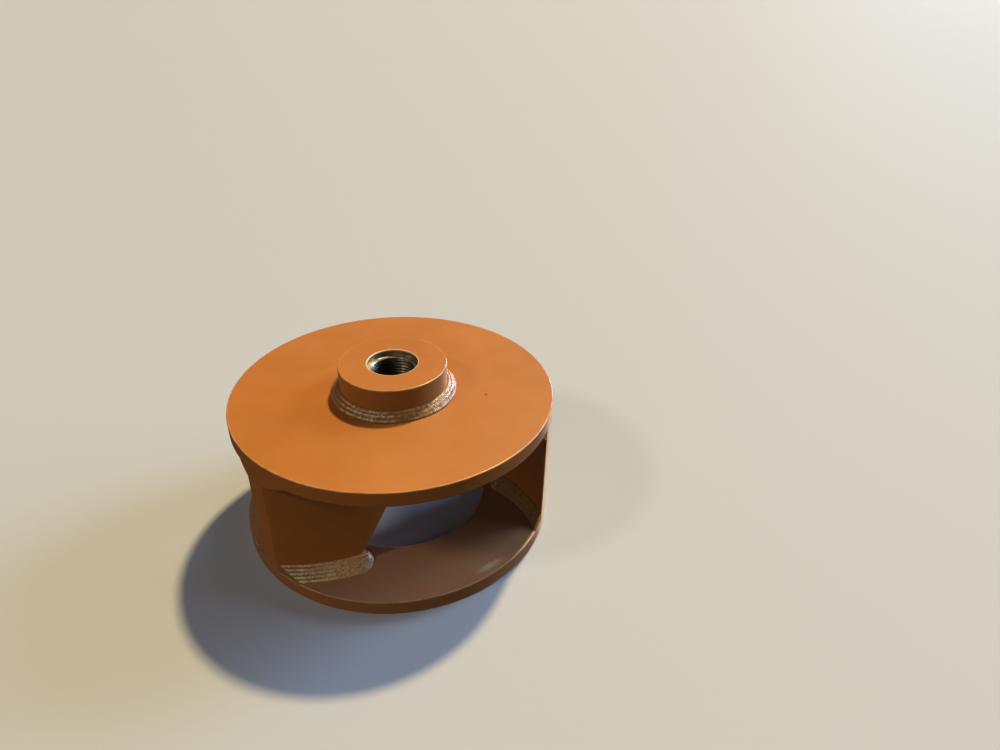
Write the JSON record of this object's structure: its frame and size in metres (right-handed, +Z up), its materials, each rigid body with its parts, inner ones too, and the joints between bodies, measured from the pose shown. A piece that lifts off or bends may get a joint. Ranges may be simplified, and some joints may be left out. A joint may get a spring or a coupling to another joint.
{
  "type": "fabricated closed impeller",
  "caption": "Heavy welded closed impeller: thick hub plate with a threaded boss, curved plate vanes and a suction ring with a round eye, in primer.",
  "frame": {"origin": "centre of the suction ring's underside, on the impeller's axis, at the level it rests on", "axes": "+Z up along the impeller's axis from the suction ring to the threaded boss; +X is a plain radial direction, 128 degrees clockwise from the outer corner of the first vane seen from above"},
  "size_m": [0.8128, 0.8128, 0.4445],
  "materials": {
    "primed_plate": "satin red-oxide primer on machined plate",
    "primed_boss": "satin red-oxide primer on a turned boss",
    "primed_vane": "satin red-oxide primer on bent plate",
    "primed_weld": "thin primer over rippled weld metal",
    "bare_bore": "bare machined thread and counterbore"
  },
  "bodies": {
    "root": {"hub_plate": "primed_plate", "hub_boss": "primed_boss", "boss_fillet_weld": "primed_weld", "suction_ring": "primed_plate", "vane_1": "primed_vane", "vane_2": "primed_vane", "vane_3": "primed_vane", "weld_ring_convex_1": "primed_weld", "weld_ring_concave_1": "primed_weld", "weld_ring_nose_1": "primed_weld", "weld_hub_convex_1": "primed_weld", "weld_hub_concave_1": "primed_weld", "weld_hub_nose_1": "primed_weld", "weld_ring_convex_2": "primed_weld", "weld_ring_concave_2": "primed_weld", "weld_ring_nose_2": "primed_weld", "weld_hub_convex_2": "primed_weld", "weld_hub_concave_2": "primed_weld", "weld_hub_nose_2": "primed_weld", "weld_ring_convex_3": "primed_weld", "weld_ring_concave_3": "primed_weld", "weld_ring_nose_3": "primed_weld", "weld_hub_convex_3": "primed_weld", "weld_hub_concave_3": "primed_weld", "weld_hub_nose_3": "primed_weld"}
  },
  "joints": []
}
